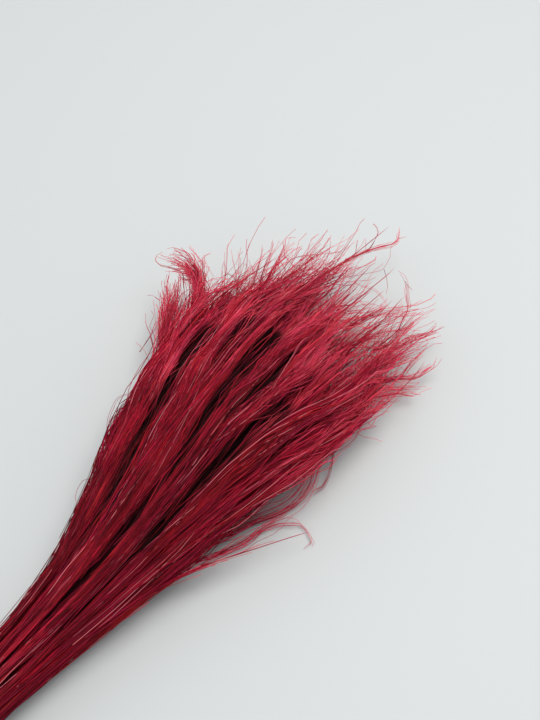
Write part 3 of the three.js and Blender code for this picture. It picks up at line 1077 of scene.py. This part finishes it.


# Painted shade: grass deep inside the bundle is given a darker colour in place of its shadow; each point
# keeps its depth below the top strands

shadeDepthSetup = {
    "cell": 4 * millimetre,  # of the map of heights
    "margin": 30 * millimetre,  # of the map round the frame's box
    "smoothing": 2,
    "crowded": 220,  # more points than this above the thin count make the full depth
    # points in a cell up to which nothing counts as deep, by the distance along the bundle
    "thin": [(-0.26, 15), (0.05, 45), (0.12, 110), (0.16, 300), (0.20, 620)],
}


def around(values):
    # each cell's value and those of its eight neighbours
    wide = np.pad(values, 1, mode="edge")
    rows, columns = values.shape
    return np.array([wide[i:i + rows, j:j + columns] for i in range(3) for j in range(3)])


def valuesAt(values, at):
    # values between the middles of the cells
    corner = at.astype(int)
    x, y = (at - corner).T
    i, j = corner.T
    left = values[i, j] * (1 - y) + values[i, j + 1] * y
    right = values[i + 1, j] * (1 - y) + values[i + 1, j + 1] * y
    return left * (1 - x) + right * x


def storePaintedShadeDepth(pieces):
    cell, margin = shadeDepthSetup["cell"], shadeDepthSetup["margin"]
    low, high = cadBox
    shape = [int((high[i] - low[i] + 2 * margin) / cell) + 2 for i in (0, 1)]
    start = np.array([low[0] - margin, low[1] - margin])
    heights = np.zeros(shape)
    crowd = np.zeros(shape)
    places = []
    for piece in pieces:
        flat = np.zeros(len(piece.data.vertices) * 3, dtype=np.float32)
        piece.data.vertices.foreach_get("co", flat)
        place = flat.reshape(-1, 3)
        places.append(place)
        at = np.clip(((place[:, :2] - start) / cell).round().astype(int), 0, np.array(shape) - 1)
        np.maximum.at(heights, (at[:, 0], at[:, 1]), place[:, 2])
        np.add.at(crowd, (at[:, 0], at[:, 1]), 1)
    for _ in range(shadeDepthSetup["smoothing"]):
        heights = around(heights).mean(axis=0)
        crowd = around(crowd).min(axis=0)
    # near the outline, where the strands stand thinly, nothing counts as deep and no shade is painted
    alongs = start[0] + np.arange(shape[0]) * cell
    thin = np.interp(alongs, *zip(*shadeDepthSetup["thin"]))[:, None]
    weights = np.clip((crowd - thin) / shadeDepthSetup["crowded"], 0, 1)
    for piece, place in zip(pieces, places):
        at = np.clip((place[:, :2] - start) / cell, 0, np.array(shape) - 1.001)
        depth = (valuesAt(heights, at) - place[:, 2]) * valuesAt(weights, at)
        layer = piece.data.attributes.new("depth", "FLOAT", "POINT")
        layer.data.foreach_set("value", depth.astype(np.float32))


storePaintedShadeDepth(pieces[:-1])  # the stray hairs get no painted shade
print("depths are stored")


# Rubber band: one loop wound three times round the stems, crossing over itself on the upper side

bandSetup = {
    "turns": 3,
    "strip": 1.9 * millimetre,  # width of the rubber
    "thickness": 1.1 * millimetre,
    "spacing": 2.2 * millimetre,  # from turn to turn
    "lift": 1.0 * millimetre,  # of the part that crosses over the others
    "crossing": (55, 125),  # degrees round the bundle, 90 is the top
    "stepsPerTurn": 72,
    "outlineStep": 3,  # degrees between the angles at which the frame's band is measured
    "corner": 0.3,  # rounding of the section, as a share of the thickness
    "cornerSteps": 3,
    "lowest": 0.02 * millimetre,
    "wobble": 0.18 * millimetre,
    "wobbles": 8,  # along the whole loop
}


def bandOutline():
    # the frame's band seen along the stems: its middle and its outer radius at each angle
    spots = [vertex.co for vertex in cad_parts["rubber_band"].data.vertices]
    low = Vector([min(spot[i] for spot in spots) for i in range(3)])
    high = Vector([max(spot[i] for spot in spots) for i in range(3)])
    middle = (low + high) / 2
    step = bandSetup["outlineStep"]
    outer = {}
    for spot in spots:
        angle = round(math.degrees(math.atan2(spot.z - middle.z, spot.y - middle.y)) / step) * step
        outer[angle] = max(outer.get(angle, 0), math.hypot(spot.y - middle.y, spot.z - middle.z))
    angles = sorted(outer)
    return middle, angles, [outer[angle] for angle in angles]


def bandPath():
    # turn follows turn along the stems, and the last one goes back over the others
    setup = bandSetup
    middle, angles, radii = bandOutline()
    low, high = setup["crossing"]
    count = setup["turns"] * setup["stepsPerTurn"]
    path = []
    for n in range(count):
        turn, share = divmod(n / setup["stepsPerTurn"], 1)
        degrees = low + 360 * share
        t = min(max((degrees - low) / (high - low), 0), 1)
        eased = t * t * (3 - 2 * t)
        side = turn + eased
        lift = 0
        if turn == setup["turns"] - 1:
            side = turn * (1 - eased)
            lift = setup["lift"] * math.sin(math.pi * t) ** 2
        radius = np.interp(degrees, angles, radii, period=360) - setup["thickness"] / 2 + lift
        angle = math.radians(degrees)
        x = middle.x + (side - (setup["turns"] - 1) / 2) * setup["spacing"]
        x += setup["wobble"] * math.sin(2 * math.pi * setup["wobbles"] * n / count)
        path.append(Vector((x, middle.y + math.cos(angle) * radius, middle.z + math.sin(angle) * radius)))
    return path, middle


def bandSection():
    # the outline of a strip with rounded corners, as its points across and outward
    setup = bandSetup
    corner = setup["thickness"] * setup["corner"]
    across, out = setup["strip"] / 2 - corner, setup["thickness"] / 2 - corner
    section = []
    for quarter, (signX, signY) in enumerate(((1, 1), (-1, 1), (-1, -1), (1, -1))):
        for step in range(setup["cornerSteps"] + 1):
            angle = math.radians(90 * (quarter + step / setup["cornerSteps"]))
            bend = math.cos(angle) * corner, math.sin(angle) * corner
            section.append((signX * across + bend[0], signY * out + bend[1]))
    return section


def makeBand(material):
    path, middle = bandPath()
    section = bandSection()
    points, faces = [], []
    count, sides = len(path), len(section)
    for i, place in enumerate(path):
        tangent = (path[(i + 1) % count] - path[i - 1]).normalized()
        out = Vector((0, place.y - middle.y, place.z - middle.z)).normalized()
        across = tangent.cross(out).normalized()
        out = across.cross(tangent)
        for wide, thick in section:
            point = place + across * wide + out * thick
            point.z = max(point.z, bandSetup["lowest"])
            points.append(tuple(point))
        ahead = (i + 1) % count
        for k in range(sides):
            after = (k + 1) % sides
            faces.append((i * sides + k, ahead * sides + k, ahead * sides + after, i * sides + after))
    mesh = bpy.data.meshes.new("wound_band")
    mesh.from_pydata(points, [], faces)
    mesh.materials.append(material)
    mesh.shade_smooth()
    piece = addObject("wound_band", mesh)
    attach(piece, "root")
    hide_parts("rubber_band")
    print("the band is wound:", len(faces), "faces")


makeBand(makePlainMaterial("naturalRubber", rubberSetup))
